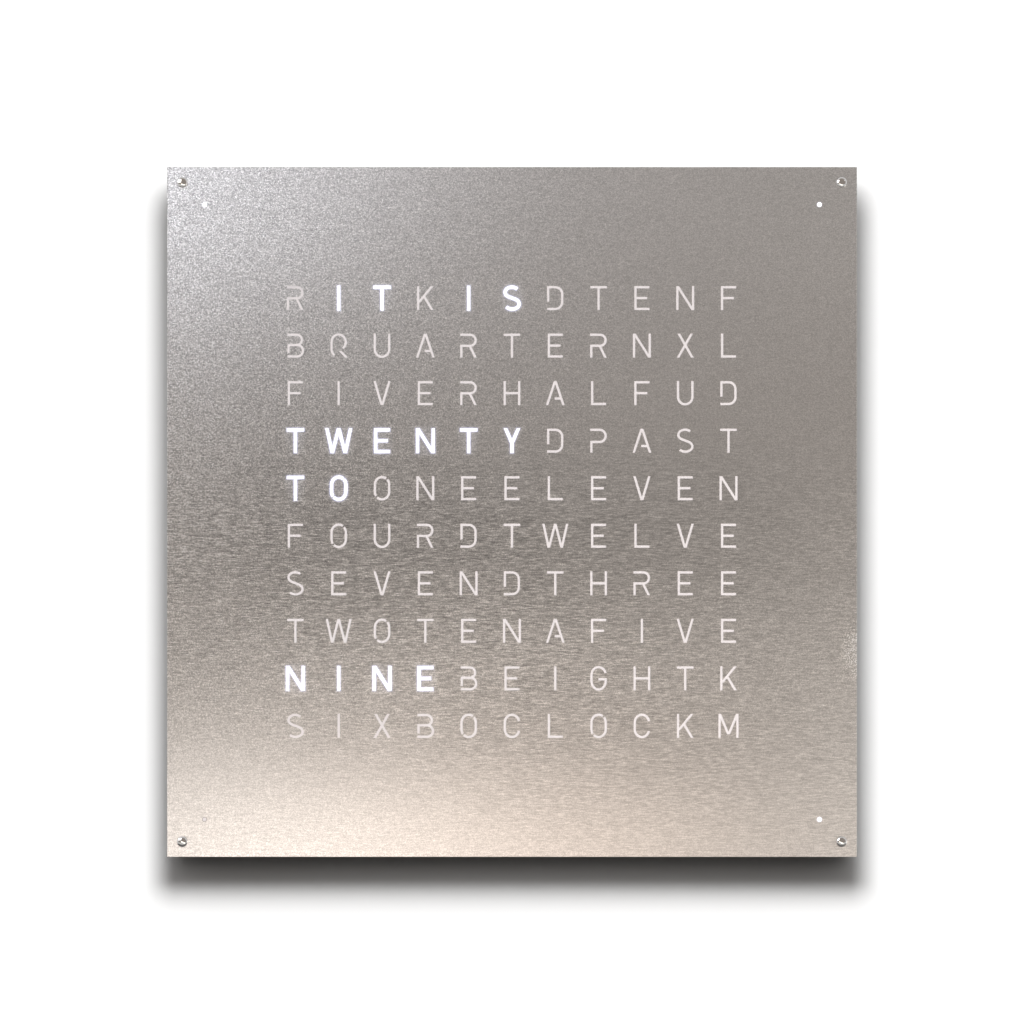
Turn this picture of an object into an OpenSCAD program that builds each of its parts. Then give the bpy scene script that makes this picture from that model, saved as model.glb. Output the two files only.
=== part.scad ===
// Word clock: a steel faceplate held by magnets on a flat wall-hung housing.
// The clock faces -Y and +Z is up. The origin is the centre of the back, on its outer face.

/* [Faceplate] */
// Width of the square-cut steel faceplate
plate_w = 450; // [440:1:520]
// Height of the faceplate
plate_h = 450; // [446:1:520]
// Thickness of the faceplate's sheet
plate_t = 2; // [1:0.1:3]
// Diameter of the small round hole of each minute light
minute_hole_d = 3; // [2:0.1:4]
// Centre of each minute light from the two nearest plate edges
minute_inset = 24.5; // [23.5:0.1:26]

/* [Corner studs] */
// Centre of each stud from the two nearest plate edges
stud_inset = 10; // [9.5:0.1:11]
// Diameter of the stud's domed head
stud_head_d = 7; // [5:0.1:9]
// Height of the domed head above the plate
stud_head_h = 1.8; // [0.8:0.1:2.4]
// Diameter of the stud's pin
stud_pin_d = 4; // [2.5:0.1:4.4]
// Length of the pin that enters the ring magnet and its boss
stud_reach = 5; // [4.5:0.1:6]
// Diameter of the ring magnets and of the keeper washers on them
magnet_d = 10; // [8:0.1:10.4]
// Height of the ring magnets
magnet_h = 4; // [2:0.1:4.4]

/* [Letter field] */
// Letters in a row
columns = 11; // [7:2:11]
// Rows of letters
rows = 10; // [6:2:10]
// Distance from the plate's side edges to the letter field
field_inset_w = 69.625; // [54.5:0.125:93]
// Distance from the plate's top and bottom edges to the letter field
field_inset_h = 70; // [63:0.25:95]
// Thickness of the opal sheet behind the letters
sheet_t = 0.8; // [0.4:0.1:0.9]

/* [Light grid] */
// Depth of the grid of light cells
grid_depth = 8; // [6.4:0.1:8.6]
// Thickness of the walls between the cells
cell_wall = 1.6; // [0.8:0.1:3]
// Extra thickness of the grid's outer rim
rim_wall = 2.4; // [1.6:0.1:3]
// Thickness of the floor that shades each light
cell_floor = 1.2; // [0.8:0.1:2]
// Diameter of the round aperture over each light
aperture_d = 12; // [9:0.5:20]
// Diameter of the screw posts at the cell corners
post_d = 9; // [8:0.1:12]

/* [Housing] */
// How far the faceplate stands out past the housing on each side
plate_overhang = 3; // [2:0.1:3.4]
// Depth of the housing from its back to its front edge
housing_depth = 16; // [15.4:0.1:20]
// Gap between the housing's front edge and the faceplate
shadow_gap = 1; // [1:0.1:2]
// Thickness of the housing's outer wall
wall_t = 3; // [2.2:0.1:3.4]
// Thickness of the web across each corner
web_t = 2; // [1.2:0.1:3]
// Width of the web across each corner
web_w = 31; // [30.8:0.1:34]
// Width of the ledge that the rear cover rests on
ledge_w = 5; // [3:0.1:5.2]
// Thickness of the ledge
ledge_t = 2; // [1.2:0.1:3]
// Thickness of the stiffening ribs
rib_t = 1.6; // [1:0.1:2.4]

/* [Rear cover] */
// Thickness of the rear cover
rear_t = 2.5; // [2:0.1:3]
// Height of the rib lattice inside the rear cover
lattice_h = 2; // [1:0.1:2.6]
// Diameter of the posts that carry the boards
boss_d = 7; // [6:0.1:9]
// Distance of the side screws from the middle of each side
screw_spread = 170; // [164:1:176]
// Diameter of the rubber wall bumpers
bumper_d = 12; // [8:0.5:16]
// Height of the rubber wall bumpers
bumper_h = 2; // [1.5:0.1:4]
// Depth of the pocket that each bumper is stuck in
bumper_pocket = 1; // [0.5:0.1:1.4]
// Centre of each bumper from the housing's sides
bumper_inset = 32; // [24:1:40]

/* [Wall hanging] */
// Diameter of the keyholes' round mouth
keyhole_d = 9; // [8:0.1:11]
// Width of the keyholes' slot
keyhole_slot = 4.5; // [3.5:0.1:5]
// Rise from the mouth's centre to the slot's end
keyhole_rise = 9; // [7:0.5:12]
// Distance between the two keyholes
keyhole_spread = 300; // [200:5:310]
// Centre of the mouths below the housing's top
keyhole_drop = 42; // [36:1:46]

/* [Boards] */
// Thickness of the circuit boards
board_t = 1.6; // [1:0.1:2]
// How far the light board reaches past the grid's rim
board_border = 1.2; // [0.5:0.1:2]
// Side of each light
led_w = 5; // [3:0.1:6]
// Height of each light
led_h = 1.6; // [0.8:0.1:2]
// Width of the controller board
controller_w = 120; // [116:1:124]
// Height of the controller board
controller_h = 40; // [38:1:41]
// Left edge of the controller board from the middle
controller_x = 34; // [32:1:38]
// Lower edge of the controller board above the housing's wall
controller_rise = 11; // [10:0.5:12]

/* [Push buttons] */
// Diameter of the buttons
button_d = 5; // [4:0.1:6]
// Distance from one button to the next
button_pitch = 20; // [14:0.5:22]
// Middle button from the controller board's left edge
button_x = 56; // [50:1:62]
// How far a button stands out of the underside
button_proud = 1; // [0.9:0.1:2]
// How far a button travels
button_travel = 0.8; // [0.4:0.1:0.8]
// Diameter of the flange that keeps a button in
flange_d = 8; // [7:0.1:10]
// Diameter of the button's stem
stem_d = 3; // [2:0.1:3.6]
// Side of the square switch bodies
switch_w = 6; // [5:0.1:7]

/* [Power socket] */
// Inner width of the recess for the plug
pocket_w = 30; // [24:1:34]
// Length of the recess for the plug
pocket_l = 36.5; // [34:0.5:40]
// Depth of the recess for the plug
pocket_d = 13; // [12.4:0.1:13.2]
// Wall thickness of the recess
pocket_t = 1.6; // [1.2:0.1:2]
// Diameter of the socket's body
jack_d = 10; // [9:0.1:10]
// Diameter of the socket's threaded neck
jack_neck_d = 8; // [7.4:0.1:8.6]
// Inner diameter of the socket
jack_bore_d = 6.3; // [5.6:0.1:6.6]
// Diameter of the socket's centre pin
jack_pin_d = 2; // [1.3:0.1:2.5]
// Distance of the socket's axis from the clock's back
jack_y = 7.8; // [7.6:0.1:8]
// Width of the notch that the cord leaves by
notch_w = 8; // [6:0.1:10]

/* [Clearances] */
// Radial clearance of the stud pins in the magnets and bosses
pin_gap = 0.08; // [0.02:0.01:0.1]
// Radial clearance of pressed and screwed pieces
seat_gap = 0.05; // [0.02:0.01:0.1]
// Gap around the rear cover and the loose inserts
fit_gap = 0.4; // [0.2:0.05:0.6]
// Radial clearance of the buttons
button_gap = 0.1; // [0.05:0.01:0.2]
// Radial clearance of screws in plain holes
screw_gap = 0.2; // [0.1:0.05:0.4]

/* [Hidden] */
$fn = 64;
cut = 1; // how far a cutting tool reaches past what it cuts

// Colours
steel = [0.66, 0.65, 0.63];
polished = [0.86, 0.86, 0.87];
opal = [0.93, 0.93, 0.92];
black = [0.09, 0.09, 0.1];
board_green = [0.05, 0.2, 0.12];
nickel = [0.6, 0.6, 0.62];

// Depths, along Y
frame_front = -housing_depth;
plate_rear = frame_front - shadow_gap;
plate_front = plate_rear - plate_t;
cover_seat = -rear_t;
ledge_front = cover_seat - ledge_t;
grid_rear = frame_front + grid_depth;
board_front = grid_rear;
board_rear = board_front + board_t;
component_y = board_front - switch_w / 2;

// Housing outline
frame_w = plate_w - 2 * plate_overhang;
frame_h = plate_h - 2 * plate_overhang;
inner_w = frame_w - 2 * wall_t;
inner_h = frame_h - 2 * wall_t;
corner_r = 1;
floor_z = -inner_h / 2; // inner face of the bottom wall

// Corner pieces
stud_x = plate_w / 2 - stud_inset;
stud_z = plate_h / 2 - stud_inset;
minute_x = plate_w / 2 - minute_inset;
minute_z = plate_h / 2 - minute_inset;
magnet_boss_d = magnet_d + 3.6;
magnet_boss_h = magnet_h + 3;
magnet_bore_d = stud_pin_d + 2 * pin_gap;
light_well_d = 5.4;
light_well_wall = 1.4;
corner_board_w = 24;
corner_board_h = 12;
corner_screw_d = 2;
corner_screw_x = 9; // from the light to each screw
corner_screw_head = 3.8;
corner_head_h = 1.2;
corner_bite = 5; // length of a corner screw inside its boss
corner_led_w = 3.4;
corner_boss_d = 5;
corner_socket = 8;
socket_h = 3;

// Letter field and light grid
field_w = plate_w - 2 * field_inset_w;
field_h = plate_h - 2 * field_inset_h;
column_pitch = field_w / columns; // from one letter's centre to the next
row_pitch = field_h / rows;
rim_w = field_w + 2 * rim_wall;
rim_h = field_h + 2 * rim_wall;
board_w = rim_w + 2 * board_border;
board_h = rim_h + 2 * board_border;
post_inset = 2; // cells from the grid's edge to its inner screw posts
peg_d = 3;
led_cup_d = 0.8 * led_w;
led_cup_h = 0.4;

// Screws
screw_d = 3;
screw_hole_d = screw_d + 2 * screw_gap;
pilot_d = screw_d + 2 * seat_gap;
screw_head_d = 5.6;
screw_head_h = 2;
counterbore_h = 3;
screw_bite = 3; // length of a board screw inside its post
side_boss_d = 8;
side_boss_h = 8;
side_screw_inset = 5.5; // from the wall's inner face
side_screw_l = 8;
countersink_d = 6.4;
countersink_h = 1.6;
head_sink = 0.1;

// Controller board and its parts
controller_z = floor_z + controller_rise;
controller_top = controller_z + controller_h;
controller_inset = 5;
controller_inset_low = 16; // clear of the lead that runs below
button_mid = controller_x + button_x;
chips = [ // left and lower edge on the board, width, height and thickness
  [34, 16, 10, 10, 1.4],
  [50, 18, 10, 7, 2.2],
  [64, 14, 6, 5, 1.6],
  [20, 16, 7, 7, 3]
];
capacitor_x = 14;
capacitor_z = 13;
capacitor_d = 6.3;
capacitor_h = 5.4;
cell_d = 20;
cell_h = 3.2;
holder_d = 24;
holder_h = 4.2;
holder_inset = 24; // from the board's right edge
holder_x = controller_x + controller_w - holder_inset;
ribbon_w = 16;
ribbon_t = 0.5;
ribbon_inset = 76; // from the board's left edge
ribbon_x = controller_x + ribbon_inset;
ribbon_socket_l = 6;
ribbon_plug = 1; // how far the ribbon enters each socket
ribbon_y = board_rear + socket_h / 2;
ribbon_low = controller_top;
ribbon_high = -board_h / 2;

// Push buttons
flange_t = 1.2;
switch_bore = 2.2;
stem_end = controller_z + switch_bore - button_travel - 0.4;

// Power socket
pocket_top = floor_z + pocket_l;
neck_l = 5.6;
jack_body_l = 13;
jack_face = pocket_top - neck_l;
jack_bore_l = 10.5;
jack_end = pocket_top + pocket_t + jack_body_l;
nut_t = 2;
nut_af = 2 * (pocket_d - jack_y - screw_gap); // across its flats
tab_y = jack_y + 2.6;
tab_x = 2.5;
tab_w = 1.6;
tab_t = 0.5;
tab_short = 1.7; // least reach of the short tab
lead_d = 1.4;
lead_gap = 0.3; // between the two leads
terminal_w = 12;
terminal_h = 8;
terminal_d = 6;
terminal_inset = 18; // from the board's left edge
terminal_x = controller_x + terminal_inset;
terminal_pitch = 5;
elbow_r = 1;
run_clear = 0.1; // least straight end of a lead above the terminal block
low_run = max(jack_end + tab_short, controller_top + run_clear + elbow_r + lead_d / 2);
high_run = low_run + lead_d + lead_gap;

// Three-core lead between the corner boards
core_d = 1.4;
core_pitch = 1.3;
lead_y = board_rear + corner_head_h + screw_gap + core_d / 2; // passes over the screw heads
cradle_posts = [-100, 0, 100];
cradle_w = 3 * core_pitch + 0.6;
cradle_t = 1.2;
cradle_l = 5;

// Slots in the rear cover, in two banks
vent_count = 6;
vent_l = 40;
vent_w = 2.4;
vent_pitch = 7;
vent_x = 34; // from the middle to each bank's middle

// Keyholes and side screws of the rear cover
cover_w = inner_w - 2 * fit_gap;
cover_h = inner_h - 2 * fit_gap;
keyhole_z = frame_h / 2 - keyhole_drop;
side_screw_x = inner_w / 2 - side_screw_inset;
side_screw_z = inner_h / 2 - side_screw_inset;
bumper_x = frame_w / 2 - bumper_inset;
bumper_z = frame_h / 2 - bumper_inset;

function column_x(i) = (i - columns / 2) * column_pitch; // wall line i, from 0 to columns
function row_z(j) = (j - rows / 2) * row_pitch;

// Screw posts of the grid: its corners, and two inner lines of three
inner_posts = [
  for (i = [post_inset, columns - post_inset], j = [post_inset, floor(rows / 2), rows - post_inset])
    [column_x(i), row_z(j)]
];
corner_posts = [for (i = [0, columns], j = [0, rows]) [column_x(i), row_z(j)]];
grid_posts = concat(inner_posts, corner_posts);
grid_pegs = [for (i = [0, columns]) [column_x(i), row_z(floor(rows / 2))]];

controller_posts = [
  for (x = [controller_inset, controller_w - controller_inset],
       z = [controller_inset_low, controller_h - controller_inset])
    [controller_x + x, controller_z + z]
];

// Screws along the sides: three each, but only two at the bottom, where the plug recess is
side_screws = concat(
  [for (side = [-1, 1], s = [-screw_spread, 0, screw_spread]) [side * side_screw_x, s]],
  [for (s = [-screw_spread, 0, screw_spread]) [s, side_screw_z]],
  [for (s = [-screw_spread, screw_spread]) [s, -side_screw_z]]
);

// A profile drawn in the X-Z plane, extruded from y = front to y = rear
module slab(front, rear) {
  translate([0, rear, 0]) rotate([90, 0, 0]) linear_extrude(rear - front) children();
}

// A round bar along Y at (x, z)
module rod(x, z, d, front, rear) {
  translate([x, rear, z]) rotate([90, 0, 0]) cylinder(d = d, h = rear - front);
}

// A round bar along Z at (x, y)
module post(x, y, d, low, high) {
  translate([x, y, low]) cylinder(d = d, h = high - low);
}

// A block from one corner to the other
module block(low, high) {
  translate(low) cube(high - low);
}

// A copy in each quarter of the clock
module quadrants() {
  for (left = [0, 1], low = [0, 1])
    mirror([left, 0, 0]) mirror([0, 0, low]) children();
}

// The same for a flat profile
module quadrants_2d() {
  for (left = [0, 1], low = [0, 1])
    mirror([left, 0, 0]) mirror([0, low, 0]) children();
}

module round_rect(w, h, r) {
  square([w - 2 * r, h], center = true);
  square([w, h - 2 * r], center = true);
  quadrants_2d() translate([w / 2 - r, h / 2 - r]) circle(r);
}

module dots(points, d) {
  for (p = points) translate(p) circle(d = d);
}

// ---- Front cover ----

module faceplate() {
  color(steel) slab(plate_front, plate_rear) difference() {
    square([plate_w, plate_h], center = true);
    quadrants_2d() {
      translate([stud_x, stud_z]) circle(d = stud_pin_d + 2 * seat_gap);
      translate([minute_x, minute_z]) circle(d = minute_hole_d);
    }
  }
}

// Domed head, pin through the plate, and a tapered tip that finds the magnet
module cover_studs() {
  dome_r = (pow(stud_head_d / 2, 2) + pow(stud_head_h, 2)) / (2 * stud_head_h);
  tip = 0.8;
  pin_end = frame_front + stud_reach;
  color(polished) quadrants() translate([stud_x, 0, stud_z]) {
    intersection() {
      translate([0, plate_front - stud_head_h + dome_r, 0]) sphere(dome_r);
      rod(0, 0, stud_head_d, plate_front - stud_head_h - cut, plate_front);
    }
    rod(0, 0, stud_pin_d, plate_front, pin_end - tip);
    translate([0, pin_end, 0]) rotate([90, 0, 0])
      cylinder(d1 = stud_pin_d - 1.2 * tip, d2 = stud_pin_d, h = tip);
  }
}

module keeper_washers() {
  color(nickel) quadrants() slab(plate_rear, frame_front) translate([stud_x, stud_z])
    difference() {
      circle(d = magnet_d);
      circle(d = stud_pin_d + 2 * seat_gap);
    }
}

module diffuser_sheet() {
  color(opal) slab(plate_rear, plate_rear + sheet_t) square([rim_w, rim_h], center = true);
}

// Opal plug in each minute hole, with a flange behind the plate
module minute_lenses() {
  flange = minute_hole_d + 2;
  recess = 0.2;
  color(opal) quadrants() {
    rod(minute_x, minute_z, minute_hole_d - 2 * seat_gap, plate_front + recess, plate_rear);
    rod(minute_x, minute_z, flange, plate_rear, plate_rear + sheet_t);
  }
}

// ---- Housing ----

// Rim of the frame seen from the front, with the corner webs
module frame_wall() {
  difference() {
    round_rect(frame_w, frame_h, corner_r);
    square([inner_w, inner_h], center = true);
  }
}

module side_bosses() {
  for (p = side_screws) {
    reach = side_screw_inset + cut;
    rod(p[0], p[1], side_boss_d, cover_seat - side_boss_h, cover_seat);
    slab(cover_seat - side_boss_h, cover_seat)
      if (abs(p[0]) == side_screw_x)
        translate([p[0] > 0 ? p[0] : p[0] - reach, p[1] - 2]) square([reach, 4]);
      else
        translate([p[0] - 2, p[1] > 0 ? p[1] : p[1] - reach]) square([4, reach]);
  }
}

// Stiffening ribs on the inside of the wall, from the front edge to the ledge
module wall_ribs() {
  pitch = 40;
  reach = ledge_w + cut;
  for (k = [-3.5:3.5]) {
    for (side = [-1, 1])
      translate([side * (inner_w + 2 * cut - reach) / 2, k * pitch])
        square([reach, rib_t], center = true);
    translate([k * pitch, (inner_h + 2 * cut - reach) / 2]) square([rib_t, reach], center = true);
    if (abs(k) > 1)
      translate([k * pitch, -(inner_h + 2 * cut - reach) / 2]) square([rib_t, reach], center = true);
  }
}

// Ledge behind which the rear cover sits, open where the plug recess passes
module ledge() {
  gap_w = pocket_w + 2 * pocket_t + 2 * fit_gap;
  difference() {
    square([inner_w + cut, inner_h + cut], center = true);
    square([inner_w - 2 * ledge_w, inner_h - 2 * ledge_w], center = true);
    translate([-gap_w / 2, floor_z - cut]) square([gap_w, ledge_w + 2 * cut]);
  }
}

// One corner: web, magnet boss, light well and two screw bosses
module frame_corner() {
  well_d = light_well_d + 2 * light_well_wall;
  slab(frame_front, frame_front + web_t)
    translate([inner_w / 2 - web_w, inner_h / 2 - web_w]) square(web_w + cut);
  rod(stud_x, stud_z, magnet_boss_d, frame_front, frame_front + magnet_boss_h);
  rod(minute_x, minute_z, well_d, frame_front, board_front);
  for (side = [-1, 1])
    rod(minute_x + side * corner_screw_x, minute_z, corner_boss_d, frame_front, board_front);
}

module corner_cuts() {
  rod(stud_x, stud_z, magnet_d + 2 * seat_gap, frame_front - cut, frame_front + magnet_h);
  rod(stud_x, stud_z, magnet_bore_d, frame_front, frame_front + magnet_boss_h + cut);
  rod(minute_x, minute_z, light_well_d, frame_front - cut, board_front + cut);
  for (side = [-1, 1])
    rod(minute_x + side * corner_screw_x, minute_z, corner_screw_d + 2 * seat_gap,
        frame_front + web_t, board_front + cut);
}

// Notch in the bottom wall that the plug's cord leaves by
module cord_notch() {
  slab_low = floor_z - wall_t - cut;
  post(0, -jack_y, notch_w, slab_low, floor_z + cut);
  block([-notch_w / 2, -jack_y, slab_low], [notch_w / 2, cut, floor_z + cut]);
}

module housing_frame() {
  color(black) difference() {
    union() {
      slab(frame_front, 0) frame_wall();
      slab(ledge_front, cover_seat) ledge();
      slab(frame_front, ledge_front) wall_ribs();
      side_bosses();
      quadrants() frame_corner();
    }
    quadrants() corner_cuts();
    for (p = side_screws)
      rod(p[0], p[1], pilot_d, cover_seat - side_boss_h + cut, cover_seat + cut);
    for (k = [-1:1])
      post(button_mid + k * button_pitch, component_y, button_d + 2 * button_gap,
           floor_z - wall_t - cut, floor_z + cut);
    cord_notch();
  }
}

module ring_magnets() {
  color(nickel) quadrants() slab(frame_front, frame_front + magnet_h) translate([stud_x, stud_z])
    difference() {
      circle(d = magnet_d);
      circle(d = magnet_bore_d);
    }
}

// ---- Rear cover ----

// Round mouth with a narrower slot rising from it
module keyhole() {
  circle(d = keyhole_d);
  translate([0, keyhole_rise]) circle(d = keyhole_slot);
  translate([-keyhole_slot / 2, 0]) square([keyhole_slot, keyhole_rise]);
}

// Slots that let the warm air out, in two banks
module vents() {
  for (side = [-1, 1], k = [1:vent_count])
    translate([side * vent_x, row_z(rows - 2) + (k - (vent_count + 1) / 2) * vent_pitch]) {
      square([vent_l - vent_w, vent_w], center = true);
      for (end = [-1, 1]) translate([end * (vent_l - vent_w) / 2, 0]) circle(d = vent_w);
    }
}

// Ribs that link the board posts
module lattice() {
  for (i = [post_inset, columns - post_inset])
    translate([column_x(i), 0]) square([rib_t, field_h], center = true);
  for (j = [post_inset, floor(rows / 2), rows - post_inset])
    translate([0, row_z(j)]) square([field_w, rib_t], center = true);
}

// Two posts and a pad that carry the three-core lead, drawn along Z
module cradle() {
  post_top = lead_y - core_d / 2;
  slab(lead_y + core_d / 2, cover_seat + seat_gap) square([cradle_w + 2 * cradle_t, cradle_l], center = true);
  for (side = [-1, 1])
    slab(post_top, cover_seat + seat_gap) translate([side * (cradle_w + cradle_t) / 2, 0])
      square([cradle_t, cradle_l], center = true);
}

module cradles() {
  for (s = cradle_posts) {
    for (side = [-1, 1]) translate([side * minute_x, 0, s]) cradle();
    translate([s, 0, minute_z]) rotate([0, 90, 0]) cradle();
  }
}

// Conical seat of a countersunk screw in the outer face
module countersink(p) {
  rod(p[0], p[1], screw_hole_d, cover_seat - cut, cut);
  rod(p[0], p[1], countersink_d, -head_sink, cut);
  translate([p[0], -head_sink, p[1]]) rotate([90, 0, 0])
    cylinder(d1 = countersink_d, d2 = screw_hole_d, h = countersink_h);
}

module rear_cover() {
  color(black) difference() {
    union() {
      slab(cover_seat, 0) round_rect(cover_w, cover_h, corner_r);
      slab(cover_seat - lattice_h, cover_seat) lattice();
      slab(board_rear, cover_seat) {
        dots(grid_posts, boss_d);
        dots(controller_posts, boss_d);
      }
      cradles();
    }
    slab(cover_seat - lattice_h - cut, cut) {
      for (side = [-1, 1]) translate([side * keyhole_spread / 2, keyhole_z]) keyhole();
      vents();
      translate([-pocket_w / 2, floor_z - cut]) square([pocket_w, pocket_l + cut]);
    }
    quadrants() rod(bumper_x, bumper_z, bumper_d + fit_gap, -bumper_pocket, cut);
    for (p = concat(grid_posts, controller_posts))
      rod(p[0], p[1], pilot_d, board_rear - cut, board_rear + screw_bite);
    for (p = side_screws) countersink(p);
  }
}

// Countersunk screws, with a cross recess
module rear_cover_screws() {
  color(nickel) for (p = side_screws) difference() {
    union() {
      translate([p[0], -head_sink, p[1]]) rotate([90, 0, 0])
        cylinder(d1 = countersink_d - 2 * seat_gap, d2 = screw_d, h = countersink_h);
      rod(p[0], p[1], screw_d, -head_sink - side_screw_l, -head_sink - countersink_h);
    }
    for (turn = [0, 90]) translate([p[0], 0, p[1]]) rotate([0, turn, 0])
      block([-1.6, -head_sink - 0.9, -0.3], [1.6, cut, 0.3]);
  }
}

module wall_bumpers() {
  color([0.16, 0.16, 0.16]) quadrants()
    rod(bumper_x, bumper_z, bumper_d, -bumper_pocket, bumper_h - bumper_pocket);
}

// ---- Light grid and its board ----

// Cells open to the front, with a shading floor that has a round aperture over each light
module light_grid() {
  color(black) difference() {
    union() {
      slab(frame_front, grid_rear - cell_floor) difference() {
        union() {
          round_rect(rim_w, rim_h, corner_r);
          dots(corner_posts, post_d);
        }
        for (i = [0:columns - 1], j = [0:rows - 1])
          translate([column_x(i + 0.5), row_z(j + 0.5)])
            square([column_pitch - cell_wall, row_pitch - cell_wall], center = true);
      }
      slab(frame_front, grid_rear - cell_floor) dots(grid_posts, post_d);
      slab(grid_rear - cell_floor, grid_rear) difference() {
        union() {
          round_rect(rim_w, rim_h, corner_r);
          dots(corner_posts, post_d);
        }
        for (i = [0:columns - 1], j = [0:rows - 1])
          translate([column_x(i + 0.5), row_z(j + 0.5)]) circle(d = aperture_d);
      }
      for (p = grid_pegs) rod(p[0], p[1], peg_d, grid_rear - cell_floor, board_rear);
    }
    for (p = grid_posts) {
      rod(p[0], p[1], screw_hole_d, frame_front - cut, grid_rear + cut);
      rod(p[0], p[1], screw_head_d + 2 * screw_gap, frame_front - cut, frame_front + counterbore_h);
    }
  }
}

// Pan-head screw with a cross recess, its head seated at y = seat
module board_screw(p, seat, end) {
  difference() {
    union() {
      rod(p[0], p[1], screw_head_d, seat - screw_head_h, seat);
      rod(p[0], p[1], screw_d, seat, end);
    }
    for (turn = [0, 90]) translate([p[0], 0, p[1]]) rotate([0, turn, 0])
      block([-1.6, seat - screw_head_h - cut, -0.3], [1.6, seat - screw_head_h / 2, 0.3]);
  }
}

module grid_screws() {
  color(nickel) for (p = grid_posts)
    board_screw(p, frame_front + counterbore_h, board_rear + screw_bite - seat_gap);
}

module led_board() {
  color(board_green) slab(board_front, board_rear) difference() {
    union() {
      square([board_w, board_h], center = true);
      dots(corner_posts, post_d);
    }
    dots(grid_posts, screw_hole_d);
    dots(grid_pegs, peg_d + 2 * seat_gap);
  }
}

// One square light with a shallow round cup
module led(x, z) {
  difference() {
    slab(board_front - led_h, board_front) translate([x, z]) square(led_w, center = true);
    rod(x, z, led_cup_d, board_front - led_h - cut, board_front - led_h + led_cup_h);
  }
}

module leds() {
  color(opal) for (i = [0:columns - 1], j = [0:rows - 1]) led(column_x(i + 0.5), row_z(j + 0.5));
}

// ---- Controller ----

module controller_board() {
  color(board_green) slab(board_front, board_rear) difference() {
    translate([controller_x, controller_z]) square([controller_w, controller_h]);
    dots(controller_posts, screw_hole_d);
  }
}

module controller_screws() {
  color(nickel) for (p = controller_posts)
    board_screw(p, board_front, board_rear + screw_bite - seat_gap);
}

// Processor, clock chip, driver, choke and capacitor on the front of the board
module controller_chips() {
  color([0.13, 0.13, 0.14]) for (c = chips)
    block([controller_x + c[0], board_front - c[4], controller_z + c[1]],
          [controller_x + c[0] + c[2], board_front, controller_z + c[1] + c[3]]);
  color(nickel)
    rod(controller_x + capacitor_x, controller_z + capacitor_z, capacitor_d,
        board_front - capacitor_h, board_front);
}

// Round holder with a floor, and two lips over the cell
module cell_holder() {
  z = controller_z + controller_h / 2;
  bore = cell_d + 2 * seat_gap;
  bed = 0.6;
  lip_w = 6;
  color(black) difference() {
    rod(holder_x, z, holder_d, board_front - holder_h, board_front);
    rod(holder_x, z, bore, board_front - bed - cell_h - seat_gap, board_front - bed);
    intersection() {
      rod(holder_x, z, bore, board_front - holder_h - cut, board_front - bed);
      block([holder_x - bore / 2, board_front - holder_h - cut, z - bore / 2 + lip_w],
            [holder_x + bore / 2, board_front - bed, z + bore / 2 - lip_w]);
    }
  }
}

module coin_cell() {
  bed = 0.6;
  color(polished)
    rod(holder_x, controller_z + controller_h / 2, cell_d, board_front - bed - cell_h, board_front - bed);
}

// A pair of sockets on the backs of the two boards, with slots that take the ribbon
module ribbon_sockets() {
  w = ribbon_w + 4;
  color([0.85, 0.83, 0.76]) difference() {
    union() {
      block([ribbon_x - w / 2, board_rear, ribbon_low - ribbon_socket_l],
            [ribbon_x + w / 2, board_rear + socket_h, ribbon_low]);
      block([ribbon_x - w / 2, board_rear, ribbon_high],
            [ribbon_x + w / 2, board_rear + socket_h, ribbon_high + ribbon_socket_l]);
    }
    block([ribbon_x - ribbon_w / 2 - seat_gap, ribbon_y - ribbon_t / 2 - seat_gap, ribbon_low - ribbon_plug],
          [ribbon_x + ribbon_w / 2 + seat_gap, ribbon_y + ribbon_t / 2 + seat_gap, ribbon_high + ribbon_plug]);
  }
}

module ribbon_cable() {
  color([0.8, 0.8, 0.78])
    block([ribbon_x - ribbon_w / 2, ribbon_y - ribbon_t / 2, ribbon_low - ribbon_plug],
          [ribbon_x + ribbon_w / 2, ribbon_y + ribbon_t / 2, ribbon_high + ribbon_plug]);
}

// ---- Push buttons ----

// Switch bodies along the controller board's lower edge, bored for the stems
module switch_bodies() {
  color(black) for (k = [-1:1]) {
    x = button_mid + k * button_pitch;
    difference() {
      block([x - switch_w / 2, board_front - switch_w, controller_z],
            [x + switch_w / 2, board_front, controller_z + switch_w]);
      post(x, component_y, stem_d + 2 * button_gap, controller_z - cut, controller_z + switch_bore);
    }
  }
}

// Domed cap, flange behind the wall and a long stem into the switch
module button(k) {
  x = button_mid + k * button_pitch;
  face = floor_z - wall_t - button_proud;
  edge = 0.5;
  color([0.2, 0.2, 0.21]) {
    post(x, component_y, button_d, face + edge, floor_z);
    translate([x, component_y, face]) cylinder(d1 = button_d - 2 * edge, d2 = button_d, h = edge);
    post(x, component_y, flange_d, floor_z, floor_z + flange_t);
    post(x, component_y, stem_d, floor_z + flange_t, stem_end);
  }
}

module button_mode() button(-1);
module button_hour() button(0);
module button_minute() button(1);

// ---- Power socket ----

// Moulded tray behind the plug recess, with a flange against the rear cover
module jack_pocket() {
  outer_w = pocket_w + 2 * pocket_t;
  flange = 3;
  low = floor_z + fit_gap;
  high = pocket_top + pocket_t;
  color(black) difference() {
    union() {
      block([-outer_w / 2, -pocket_d - pocket_t, low], [outer_w / 2, cover_seat, high]);
      block([-outer_w / 2 - flange, cover_seat - pocket_t, floor_z + ledge_w + fit_gap],
            [outer_w / 2 + flange, cover_seat, high + flange]);
    }
    block([-pocket_w / 2, -pocket_d, low - cut], [pocket_w / 2, cut, pocket_top]);
    post(0, -jack_y, jack_neck_d + 2 * seat_gap, pocket_top - cut, high + cut);
    block([-jack_d / 2 - fit_gap, -jack_y, high], [jack_d / 2 + fit_gap, cut, high + flange + cut]);
  }
}

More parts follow.
